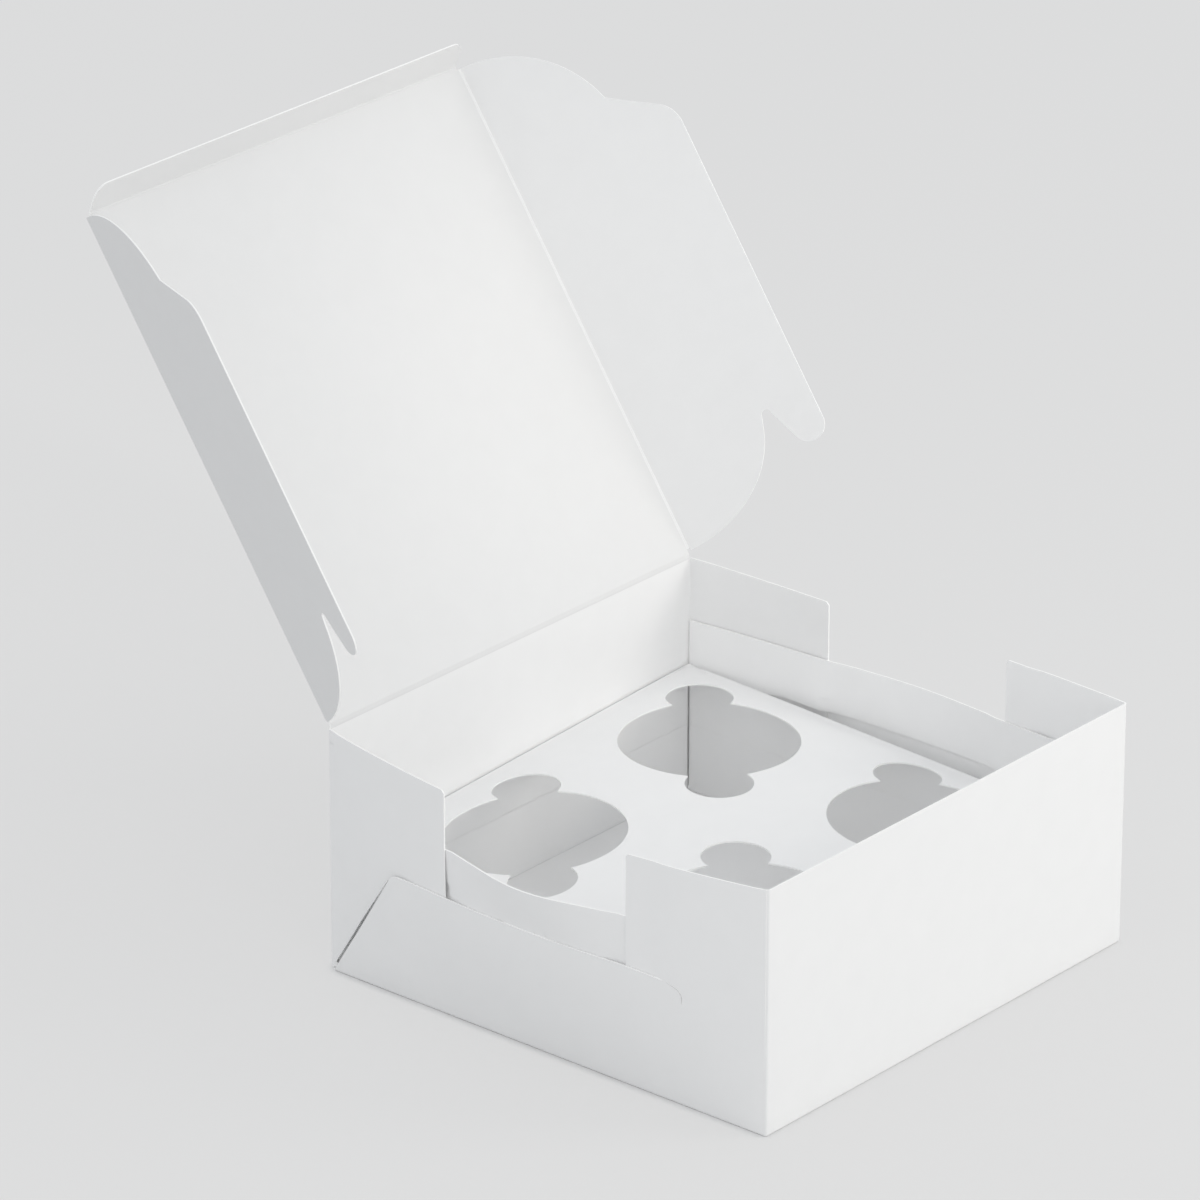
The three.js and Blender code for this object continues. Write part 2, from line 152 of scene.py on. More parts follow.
@dataclass
class CardSheet:
    """One sheet of card: cut flat, scored with a grid, bent into place and given its thickness."""

    thickness: float
    bm: bmesh.types.BMesh = field(default_factory=bmesh.new)

    def cut(self, outline: Sequence[Point], holes: Sequence[Sequence[Point]] = ()) -> None:
        """Fill a flat outline, leaving its holes open.

        Args:
            outline: Corners of the sheet in its own plane.
            holes: Corners of each hole.
        """
        edges = []
        for loop in (outline, *holes):
            corners = [self.bm.verts.new((u, v, 0.0)) for u, v in loop]
            for here, there in zip(corners, corners[1:] + corners[:1]):
                edges.append(self.bm.edges.new((here, there)))
        bmesh.ops.triangle_fill(self.bm, use_beauty=True, use_dissolve=False, edges=edges, normal=(0, 0, 1))

    def score(self, u_lines: Sequence[float], v_lines: Sequence[float]) -> None:
        """Split the flat sheet along grid lines and take out the diagonals between them.

        Args:
            u_lines: Lines across the first direction.
            v_lines: Lines across the second direction.
        """
        slack = MERGE_MM / 10
        for normal, lines in ((Vector((1, 0, 0)), u_lines), (Vector((0, 1, 0)), v_lines)):
            for line in lines:
                geom = self.bm.verts[:] + self.bm.edges[:] + self.bm.faces[:]
                place = normal * line
                bmesh.ops.bisect_plane(self.bm, geom=geom, dist=slack, plane_co=place, plane_no=normal)
        diagonals = []
        for edge in self.bm.edges:
            run = edge.verts[1].co - edge.verts[0].co
            if len(edge.link_faces) == 2 and abs(run.x) > slack and abs(run.y) > slack:
                diagonals.append(edge)
        bmesh.ops.dissolve_edges(self.bm, edges=diagonals, use_verts=False)

    def bend(self, place: Place, flip: bool = False) -> None:
        """Move the flat sheet into the box.

        Args:
            place: Gives the place in the box of each point of the sheet.
            flip: Turn the sheet's face over.
        """
        for vert in self.bm.verts:
            vert.co = place(vert.co.x, vert.co.y)
        if flip:
            bmesh.ops.reverse_faces(self.bm, faces=self.bm.faces[:])

    def add(self, other: CardSheet) -> None:
        """Take another bent sheet into this one and delete it there.

        Args:
            other: The sheet that is taken in.
        """
        spare = bpy.data.meshes.new("spare")
        other.bm.to_mesh(spare)
        self.bm.from_mesh(spare)
        bpy.data.meshes.remove(spare)
        other.bm.free()

    def thicken(self) -> None:
        """Give the bent sheet its thickness, half to each side, with cut edges as material 1."""
        bmesh.ops.remove_doubles(self.bm, verts=self.bm.verts[:], dist=MERGE_MM)
        bmesh.ops.dissolve_degenerate(self.bm, dist=MERGE_MM / 2, edges=self.bm.edges[:])
        self.bm.normal_update()
        normals = {vert: vert.normal.copy() for vert in self.bm.verts}
        front = self.bm.faces[:]
        grown = bmesh.ops.extrude_face_region(self.bm, geom=front, use_keep_orig=True)["geom"]
        back = {item for item in grown if isinstance(item, bmesh.types.BMFace)}
        board = back.union(front)
        half = self.thickness / 2
        for vert in [item for item in grown if isinstance(item, bmesh.types.BMVert)]:
            outward = Vector((0, 0, 0))
            for face in vert.link_faces:
                if face in back:
                    outward += face.normal
            vert.co -= outward.normalized() * half
        for vert, normal in normals.items():
            vert.co += normal * half
        for face in self.bm.faces:
            if face not in board:
                face.material_index = 1
        bmesh.ops.recalc_face_normals(self.bm, faces=self.bm.faces[:])

    def finish(self, name: str, materials: Sequence[bpy.types.Material], heart: Vector) -> bpy.types.Object:
        """Turn the sheet into an object in metres, smooth apart from its cut edges.

        Args:
            name: The object's name.
            materials: The board's outside, its cut edge and its inside.
            heart: A point that the sheet's inside faces.

        Returns:
            The new object, linked to the scene.
        """
        self.thicken()
        for face in self.bm.faces:
            inside = face.normal.dot(face.calc_center_median() - heart) < 0
            if inside and face.material_index == 0:
                face.material_index = 2
        sharp = math.radians(SHARP_DEG)
        for edge in self.bm.edges:
            edge.smooth = edge.calc_face_angle(0.0) < sharp
        for face in self.bm.faces:
            face.smooth = True
        bmesh.ops.scale(self.bm, vec=(MM, MM, MM), verts=self.bm.verts[:])
        mesh = bpy.data.meshes.new(name)
        self.bm.to_mesh(mesh)
        self.bm.free()
        for material in materials:
            mesh.materials.append(material)
        piece = bpy.data.objects.new(name, mesh)
        bpy.context.scene.collection.objects.link(piece)
        return piece


class NodeBoard:
    """The node tree of one material, with one way to add a node."""

    def __init__(self, name: str) -> None:
        """Make the material and keep its shader.

        Args:
            name: The material's name.
        """
        self.material = bpy.data.materials.new(name)
        self.material.use_nodes = True
        self.tree = self.material.node_tree
        self.shader = self.tree.nodes["Principled BSDF"]

    def node(self, kind: str, settings: dict | None = None, inputs: dict | None = None) -> bpy.types.Node:
        """Add a node with its settings, and its inputs as values or links.

        Args:
            kind: Blender's name for the node type.
            settings: Properties of the node.
            inputs: For each input, a value or the output socket that feeds it.

        Returns:
            The new node.
        """
        added = self.tree.nodes.new(kind)
        for key, value in (settings or {}).items():
            setattr(added, key, value)
        for key, value in (inputs or {}).items():
            if isinstance(value, bpy.types.NodeSocket):
                self.tree.links.new(value, added.inputs[key])
            else:
                added.inputs[key].default_value = value
        return added

    def maths(self, operation: str, first: object, second: object = 0.0) -> bpy.types.NodeSocket:
        """Work out one value from two, each a number or a socket.

        Args:
            operation: Blender's name for the sum.
            first: First value.
            second: Second value.

        Returns:
            The result's socket.
        """
        return self.node("ShaderNodeMath", {"operation": operation}, {0: first, 1: second}).outputs[0]


@dataclass(frozen=True)
class CardFinish:
    """Folding boxboard: bleached pulp pressed smooth, so its face is matt white with a soft broad sheen.

    The mottle is the uneven pulp, the fibre a fine tooth, and the waves the slight buckling of a thin board.
    """

    name: str
    colour: str
    mottle_colour: str
    roughness: float = 0.55
    specular: float = 0.35
    ior: float = 1.46
    mottle_mm: float = 9.0
    fibre_mm: float = 0.9
    fibre_height_mm: float = 0.012
    wave_mm: float = 38.0
    wave_height_mm: float = 0.35

    def material(self) -> bpy.types.Material:
        """Build the node material.

        Returns:
            The finished material.
        """
        board = NodeBoard(self.name)
        place = board.node("ShaderNodeTexCoord").outputs["Object"]
        colour = self.pulp_colour(board, place)
        board.tree.links.new(colour, board.shader.inputs["Base Color"])
        height = self.relief(board, place)
        bump = board.node("ShaderNodeBump", inputs={"Strength": 1.0, "Distance": MM, "Height": height})
        board.tree.links.new(bump.outputs["Normal"], board.shader.inputs["Normal"])
        board.shader.inputs["Roughness"].default_value = self.roughness
        board.shader.inputs["Specular IOR Level"].default_value = self.specular
        board.shader.inputs["IOR"].default_value = self.ior
        return board.material

    def pulp_colour(self, board: NodeBoard, place: bpy.types.NodeSocket) -> bpy.types.NodeSocket:
        """Mix the board's two tints in soft patches.

        Args:
            board: The material's nodes.
            place: Object coordinates.

        Returns:
            The colour's socket.
        """
        patches = board.node("ShaderNodeTexNoise", inputs={
            "Vector": place, "Scale": 1 / (self.mottle_mm * MM), "Detail": 3.0, "Roughness": 0.55})
        first, second = linear_colour(self.colour), linear_colour(self.mottle_colour)
        mix = board.node("ShaderNodeMix", {"data_type": "RGBA"}, {
            "Factor": patches.outputs["Fac"], "A": first, "B": second})
        return mix.outputs["Result"]

    def relief(self, board: NodeBoard, place: bpy.types.NodeSocket) -> bpy.types.NodeSocket:
        """Add the fine tooth of the pulp to the slow waves of the board.

        Args:
            board: The material's nodes.
            place: Object coordinates.

        Returns:
            The height's socket, in millimetres.
        """
        fibre = board.node("ShaderNodeTexNoise", inputs={
            "Vector": place, "Scale": 1 / (self.fibre_mm * MM), "Detail": 2.0, "Roughness": 0.6})
        wave = board.node("ShaderNodeTexNoise", inputs={
            "Vector": place, "Scale": 1 / (self.wave_mm * MM), "Detail": 1.0, "Roughness": 0.4})
        tooth = board.maths("MULTIPLY", fibre.outputs["Fac"], self.fibre_height_mm)
        swell = board.maths("MULTIPLY", wave.outputs["Fac"], self.wave_height_mm)
        return board.maths("ADD", tooth, swell)


@dataclass(frozen=True)
class InsertFinish(CardFinish):
    """The insert's board, stretched a little round its cut holes and scored half way down its legs."""

    hole_pitch: float = 77.5
    hole_radius: float = 26.6
    stretch_reach: float = 4.5
    stretch_height: float = 0.05
    stretch_count: float = 46.0
    score_z: float = 22.0
    score_width: float = 0.5
    score_depth: float = 0.12

    def relief(self, board: NodeBoard, place: bpy.types.NodeSocket) -> bpy.types.NodeSocket:
        """Add stretch marks round the holes and a score on the legs to the plain relief.

        Args:
            board: The material's nodes.
            place: Object coordinates.

        Returns:
            The height's socket, in millimetres.
        """
        plain = super().relief(board, place)
        parts = board.node("ShaderNodeSeparateXYZ", inputs={0: place})
        centre = self.hole_pitch * MM / 2
        across = [board.maths("SUBTRACT", board.maths("ABSOLUTE", parts.outputs[axis]), centre)
                  for axis in ("X", "Y")]
        angle = board.maths("ARCTAN2", across[1], across[0])
        squares = [board.maths("POWER", board.maths("ABSOLUTE", value), 2.0) for value in across]
        distance = board.maths("SQRT", board.maths("ADD", *squares))
        beyond = board.maths("SUBTRACT", distance, self.hole_radius * MM)
        fade = board.node("ShaderNodeMapRange", {"clamp": True}, {
            "Value": beyond, "From Min": 0.0, "From Max": self.stretch_reach * MM,
            "To Min": 1.0, "To Max": 0.0})
        spokes = board.node("ShaderNodeTexNoise", {"noise_dimensions": "1D"}, {
            "W": board.maths("MULTIPLY", angle, self.stretch_count / math.tau), "Scale": 1.0, "Detail": 1.0})
        stretch = board.maths("MULTIPLY", fade.outputs["Result"], spokes.outputs["Fac"])
        stretch = board.maths("MULTIPLY", stretch, self.stretch_height)
        off_score = board.maths("ABSOLUTE", board.maths("SUBTRACT", parts.outputs["Z"], self.score_z * MM))
        score = board.maths("LESS_THAN", off_score, self.score_width * MM / 2)
        score = board.maths("MULTIPLY", score, -self.score_depth)
        return board.maths("ADD", board.maths("ADD", plain, stretch), score)


OUTSIDE_BOARD = CardFinish("outside_board", "#F0F0F0", "#EDEDED")
# Inside board: lighter than the outside board, painted light that brightens the shaded inside of the tray and
# its holes.
LIT_INSIDE_BOARD = CardFinish("inside_board_painted_light", "#F6F6F6", "#F3F3F3", roughness=0.6)
# Lid board: darker than the rest of the card, painted shade that makes the lid look less lit.
SHADED_LID_BOARD = CardFinish("lid_board_painted_shade", "#E4E4E4", "#E1E1E1", roughness=0.48, wave_height_mm=0.5)
# Insert board: lighter than the outside board, painted light that brightens the shaded holes under the
# insert.
LIT_INSERT_BOARD = InsertFinish("insert_board_painted_light", "#F4F4F4", "#F1F1F1", roughness=0.6)
# Cut edge: near white, a painted highlight that draws bright lines along the card's cut edges.
HIGHLIGHT_CUT_EDGE = CardFinish("cut_edge_painted_highlight", "#FEFEFD", "#F8F8F7", roughness=0.75, specular=0.2, fibre_mm=0.3)


@dataclass
class Tray:
    """The tray: base, walls and locked side walls of one folded blank."""

    card: float = 0.45
    width: float = 160.0
    depth: float = 160.0
    height: float = 74.8
    ply_gap: float = 0.15
    fold_radius: float = 0.8
    slit_height: float = 40.5
    slit_width: float = 0.12
    slit_margin: float = 1.0
    slit_front: float = -53.2
    slit_droop: float = 2.0
    droop_start: float = -28.0
    hook_radius: float = 3.6
    hook_depth: float = 5.0
    hook_widening: float = 3.0
    hook_steps: int = 8
    band_height: float = 55.0
    band_step_rate: float = 8.0
    band_step_start: float = 0.1
    strip_rear: float = 50.0
    strip_setback: float = 2.0
    strip_corner: float = 2.5
    rear_flap_length: float = 49.6
    rear_flap_taper: float = 1.6
    front_flap_length: float = 45.0
    front_flap_taper: float = 0.6
    flap_floor_gap: float = 0.6
    flap_corner: float = 1.0
    flap_round: float = 0.8
    flap_root_drop: float = 0.1
    flap_jog: float = 6.0
    band_jog: float = 4.0
    band_tuck: float = 1.6
    flap_tuck: float = 0.9
    strip_lift: float = 0.8
    strip_lift_length: float = 9.0
    strip_lift_rate: float = 4.0
    flap_gap: tuple[float, float, float] = (1.25, 1.5, 0.9)
    flap_gap_ends: tuple[float, float] = (0.04, 0.98)
    band_dip: float = 1.0
    band_dip_reach: float = 14.0
    band_dip_front: float = 2.5
    band_dip_drop: float = 11.0
    band_lean: dict[Side, float] = field(default_factory=lambda: {Side.LEFT: 0.0, Side.RIGHT: 0.2})
    bow: dict[Side, float] = field(default_factory=lambda: {Side.LEFT: 8.6, Side.RIGHT: 4.4})
    window_bow: dict[Side, float] = field(default_factory=lambda: {Side.LEFT: 4.6, Side.RIGHT: 1.2})
    bow_rise: float = 48.0
    bow_power: float = 0.84
    grid: float = 4.0
    fold_steps: int = 5
    hinge_reach: float = 0.6

    def __post_init__(self) -> None:
        """Work out the places that follow from the sizes."""
        self.half_width = self.width / 2
        self.half_depth = self.depth / 2
        self.ply = self.card + self.ply_gap
        self.fold_mid = self.fold_radius - self.card / 2
        self.quarter = math.pi / 2 * self.fold_mid
        self.front_run = self.half_width - self.fold_radius
        self.side_start = self.front_run + self.quarter
        self.rear_run = self.half_width - self.ply - self.fold_radius
        self.rear_flap_front = self.half_depth - self.rear_flap_length
        self.front_flap_rear = -self.half_depth + self.front_flap_length
        self.bottom = self.fold_radius - self.quarter
        self.wall_top = self.height - self.hinge_reach / 2

    def wall_bow(self, side: Side, y: float, z: float) -> float:
        """How far a side wall stands out at a place, 0 at its folds.

        Args:
            side: Which side wall.
            y: Place along it.
            z: Height.

        Returns:
            The distance outwards.
        """
        along = math.sin(math.pi * clamp01((self.half_depth - y) / self.depth))
        up = math.sin(math.pi / 2 * min(max(z, 0.0) / self.bow_rise, 1))
        return self.bow[side] * max(along, 0.0) ** self.bow_power * up

    def extra_bow(self, side: Side, y: float, z: float) -> float:
        """How much further the band stands out between the corner flaps.

        Args:
            side: Which side wall.
            y: Place along it.
            z: Height.

        Returns:
            The distance outwards.
        """
        t = clamp01((self.rear_flap_front - y) / (self.rear_flap_front - self.front_flap_rear))
        up = clamp01((z - self.slit_height) / (self.band_height - self.slit_height))
        wave = math.sin(math.pi * t) ** 2
        step = ease(self.band_step_rate * wave - self.band_step_start)
        return self.ply * step + self.window_bow[side] * up * wave

    def band_inset(self, side: Side, y: float, z: float) -> float:
        """How far the band stands in from the corner flap over it, most at the flap's front edge.

        Args:
            side: Which side wall.
            y: Place along it.
            z: Height.

        Returns:
            The distance inwards.
        """
        behind = ease(1 - (y - self.rear_flap_front) / self.band_dip_reach)
        before = ease(1 + (y - self.rear_flap_front) / self.band_dip_front)
        drop = clamp01((self.band_height - z) / self.band_dip_drop)
        lean = self.band_lean[side] * clamp01(z / self.band_height) * before
        return self.band_dip * behind * before * drop + lean

    def lift(self, y: float, z: float) -> float:
        """How far the strip's free rear corner stands off the corner flap behind it.

        Args:
            y: Place along the wall.
            z: Height.

        Returns:
            The distance outwards.
        """
        back = clamp01((y - self.strip_rear + self.strip_lift_length) / self.strip_lift_length)
        up = clamp01(self.strip_lift_rate * z / self.slit_height)
        return self.strip_lift * back ** 2 * math.sin(math.pi / 2 * up)

    def slit(self, y: float) -> float:
        """Height of the slit at a place along the wall."""
        t = clamp01((self.droop_start - y) / (self.droop_start - self.slit_front))
        return self.slit_height - self.slit_droop * t * t

    def wrap(self, s: float, v: float, run: float, face: float, inset: float,
             out: Callable[[Side, float, float], float]) -> Vector:
        """Place a point of a sheet that goes along one end wall and round its corners onto the side walls.

        Args:
            s: Distance from the middle of the end wall, along the sheet.
            v: Height, below the fold radius going round under the base.
            run: Half length of the straight end wall.
            face: Sign of the end wall's Y.
            inset: How far inside the side wall's outer face the sheet's own outer face runs.
            out: How far out a side wall stands at a side, Y and height.

        Returns:
            The place in the box.
        """
        side = Side.LEFT if s < 0 else Side.RIGHT
        end = self.half_depth - self.fold_radius
        mid = self.fold_mid
        along = abs(s)
        if along <= run:
            place = Vector((s, face * (end + mid), 0))
            normal = Vector((0, face, 0))
        elif along <= run + self.quarter:
            angle = (along - run) / mid
            normal = Vector((side.value * math.sin(angle), face * math.cos(angle), 0))
            place = Vector((side.value * run, face * end, 0)) + normal * mid
        else:
            y = face * (end - (along - run - self.quarter))
            x = self.half_width - inset - self.card / 2 + out(side, y, v)
            place = Vector((side.value * x, y, 0))
            normal = Vector((side.value, 0, 0))
        if v < self.fold_radius:
            turn = (self.fold_radius - v) / mid
            place -= normal * mid * (1 - math.cos(turn))
            place.z = self.fold_radius - mid * math.sin(turn)
        else:
            place.z = v
        return place

    def side_s(self, y: float) -> float:
        """Distance along the front sheet of a place on a side wall."""
        return self.side_start + y + self.half_depth - self.fold_radius

    def jog(self, y: float) -> float:
        """Share of the front flap's step inwards at a place behind the hook."""
        return ease((y - self.slit_front - self.hook_radius) / self.flap_jog)

    def score_wall(self, sheet: CardSheet, run: float, far: float) -> None:
        """Score the flat sheet of an end wall, closely over its folds.

        Args:
            sheet: The sheet, with the middle of the end wall at 0.
            run: Half length of the straight end wall.
            far: How far along the sheet its side parts reach.
        """
        turn = run + self.quarter
        fold = self.quarter / self.fold_steps
        lines = [*marks(run, turn, fold), *marks(turn, far, self.grid)]
        u_lines = [*marks(-run, run, self.grid), *lines, *(-s for s in lines)]
        v_lines = [*marks(self.bottom, self.fold_radius, fold),
                   *marks(self.fold_radius, self.height, self.grid)]
        sheet.score(u_lines, v_lines)

    def slit_run(self, rear: float, lift: float) -> list[Point]:
        """The slit from a place at the rear to its hook, as side wall points.

        Args:
            rear: Y where it starts.
            lift: How far above the slit's own line it runs.

        Returns:
            Points of Y and height, rear first.
        """
        hook_y = self.slit_front + self.hook_radius
        hook_z = self.slit(self.slit_front) - self.hook_radius
        droop = marks(hook_y + self.slit_margin, self.droop_start, self.grid)
        behind = [y for y in reversed(droop) if y < rear - self.slit_margin]
        points = [(y, self.slit(y) + lift) for y in (rear, *behind)]
        radii = (self.hook_radius + self.hook_widening * lift, self.hook_radius + lift)
        points += arc((hook_y, hook_z), radii, 90, 180, self.hook_steps)
        points.append((hook_y - self.hook_radius - lift, self.slit(self.slit_front) - self.hook_depth))
        return points

    def front_half(self) -> list[Point]:
        """Right half of the front sheet: front wall, corner flap above the slit, strip below it.

        Returns:
            The outline's points.
        """
        corner = self.strip_corner
        rear = self.half_depth - self.strip_setback
        strip = [(rear, self.bottom), (rear, self.card)]
        for back, down in STRIP_ROUND:
            strip.append((self.strip_rear + corner * back, self.slit_height - corner * down))
        below = self.slit_run(self.strip_rear - corner, 0.0)
        above = self.slit_run(self.front_flap_rear, self.slit_width)
        flap_top = self.height - self.front_flap_taper
        top = [
            (self.front_flap_rear, flap_top - self.flap_round),
            (self.front_flap_rear - self.flap_round, flap_top),
            (-self.half_depth + self.fold_radius, self.height),
        ]
        sides = [*strip, *below[1:], *reversed(above), *top]
        return [(self.side_s(y), v) for y, v in sides]

    def front_sheet(self) -> CardSheet:
        """Front wall with its corner flaps and both side strips, folded from one sheet.

        Returns:
            The bent sheet.
        """
        sheet = CardSheet(self.card)
        sheet.cut(mirrored(self.front_half()))
        self.score_wall(sheet, self.front_run, self.side_s(self.half_depth))
        sheet.bend(self.front_place)
        return sheet

    def front_out(self, side: Side, y: float, z: float) -> float:
        """How far the front sheet stands out on a side, stepping in above the slit and lifted below it.

        Args:
            side: Which side wall.
            y: Place along it.
            z: Height.

        Returns:
            The distance outwards.
        """
        if z > self.slit(y) + self.slit_width / 2:
            return self.wall_bow(side, y, z) - self.ply * self.jog(y)
        return self.wall_bow(side, y, z) + self.lift(y, z)

    def front_place(self, s: float, v: float) -> Vector:
        """Place a point of the front sheet, with its flap's lower edge drawn down behind the strip.

        Args:
            s: Distance from the middle of the front wall, along the sheet.
            v: Height along the sheet.

        Returns:
            The place in the box.
        """
        point = self.wrap(s, v, self.front_run, -1, 0.0, self.front_out)
        over = v - self.slit(point.y)
        if abs(s) > self.side_start and over > self.slit_width / 2:
            point.z -= self.flap_tuck * self.jog(point.y) * clamp01(1 - over / self.flap_jog)
        return point

    def gap_outline(self) -> list[Point]:
        """The narrow gap that the rear corner flap leaves along the strip's slanted end.

        Returns:
            The gap's corners, as Y and height.
        """
        low = Vector((self.half_depth - self.strip_setback, self.card))
        run = Vector((self.strip_rear + self.strip_corner, self.slit_height - self.strip_corner)) - low
        across = Vector((run.y, -run.x)).normalized()
        first, last = self.flap_gap_ends
        shares = (first, (first + last) / 2, last)
        far = [low + run * share + across * reach for share, reach in zip(shares, self.flap_gap)]
        return [tuple(point) for point in (low + run * first, low + run * last, *reversed(far))]

    def rear_sheet(self) -> CardSheet:
        """Rear wall with its two corner flaps.

        Returns:
            The bent sheet.
        """
        turn = self.rear_run + self.quarter
        middle = turn + (self.half_depth - self.fold_radius)
        front = middle - self.rear_flap_front
        low = self.card + self.flap_floor_gap
        flap_top = self.height - self.rear_flap_taper
        half = [
            (self.rear_run, self.bottom),
            (self.rear_run, low),
            (front, low),
            (front, flap_top - self.flap_corner),
            (front - self.flap_corner, flap_top),
            (turn, self.height - self.flap_root_drop),
            (self.rear_run, self.wall_top),
        ]
        gap = [(middle - y, z) for y, z in self.gap_outline()]
        sheet = CardSheet(self.card)
        sheet.cut(mirrored(half), [gap, [(-s, v) for s, v in gap]])
        self.score_wall(sheet, self.rear_run, front)
        sheet.bend(lambda s, v: self.wrap(s, v, self.rear_run, 1, self.ply, self.wall_bow), flip=True)
        return sheet

    def base_sheet(self) -> CardSheet:
        """The flat base between the bottom folds.

        Returns:
            The bent sheet.
        """
        x = self.half_width - self.fold_radius
        y = self.half_depth - self.fold_radius
        sheet = CardSheet(self.card)
        sheet.cut([(-x, -y), (x, -y), (x, y), (-x, y)])
        sheet.score(marks(-x, x, self.grid * 2), marks(-y, y, self.grid * 2))
        sheet.bend(lambda u, v: Vector((u, v, self.card / 2)), flip=True)
        return sheet

    def band_sheet(self, side: Side) -> CardSheet:
        """Inner band of one side wall, everything above and behind the slit.

        Args:
            side: Which side wall.

        Returns:
            The bent sheet.
        """
        rear = self.half_depth - self.card - self.ply_gap * 2
        front = -self.half_depth + self.card + self.fold_radius
        corner = self.strip_corner
        step = 2 * corner
        behind = marks(self.slit_front + 2 * self.hook_radius, self.strip_rear - corner, self.grid)
        slit = [(y, self.slit(y) + self.slit_width - self.band_tuck) for y in reversed(behind)]
        slit.append((self.slit_front - self.slit_width, slit[-1][1]))
        points = [
            (front, self.card),
            (slit[-1][0], self.card),
            *reversed(slit),
            (self.strip_rear + step, self.slit_height - corner),
            (rear - self.flap_corner, self.card + step),
            (rear, self.card + step),
            (rear, self.band_height),
            (front, self.band_height),
        ]
        sheet = CardSheet(self.card)
        sheet.cut(points)
        sheet.score(marks(front, rear, self.grid), marks(self.card, self.band_height, self.grid))
        shallow = self.card + self.ply_gap / 4
        jog_start = self.slit_front - self.band_jog / 2

        def place(y: float, z: float) -> Vector:
            """Place a point of the band.

            Args:
                y: Place along the wall.
                z: Height.

            Returns:
                The place in the box.
            """
            inset = shallow + (2 * self.ply - shallow) * ease((y - jog_start) / self.band_jog)
            x = self.half_width - inset - self.card / 2
            x += self.wall_bow(side, y, z) + self.extra_bow(side, y, z) - self.band_inset(side, y, z)
            return Vector((side.value * x, y, z))

        sheet.bend(place, flip=side is Side.LEFT)
        return sheet

    def build(self, outside: bpy.types.Material, edge: bpy.types.Material,
              inside: bpy.types.Material) -> list[bpy.types.Object]:
        """Make the tray's pieces and put them on the tray.

        Args:
            outside: Material of the board's outside.
            edge: Material of its cut edges.
            inside: Material of its inside, lightened as painted light.

        Returns:
            The finished pieces.
        """
        sheets = {
            "tray_front_and_strips": self.front_sheet(),
            "tray_rear_and_flaps": self.rear_sheet(),
            "tray_base": self.base_sheet(),
            "tray_band_left": self.band_sheet(Side.LEFT),
            "tray_band_right": self.band_sheet(Side.RIGHT),
        }
        pieces = []
        heart = Vector((0, 0, self.height / 2))
        for name, sheet in sheets.items():
            # The rear wall and its flaps keep the outside board on both faces; the other sheets' insides take
            # the inside board, lightened as painted light.
            within = outside if name == "tray_rear_and_flaps" else inside
            piece = sheet.finish(name, (outside, edge, within), heart)
            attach(piece, "tray")
            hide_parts("tray")
            pieces.append(piece)
        return pieces


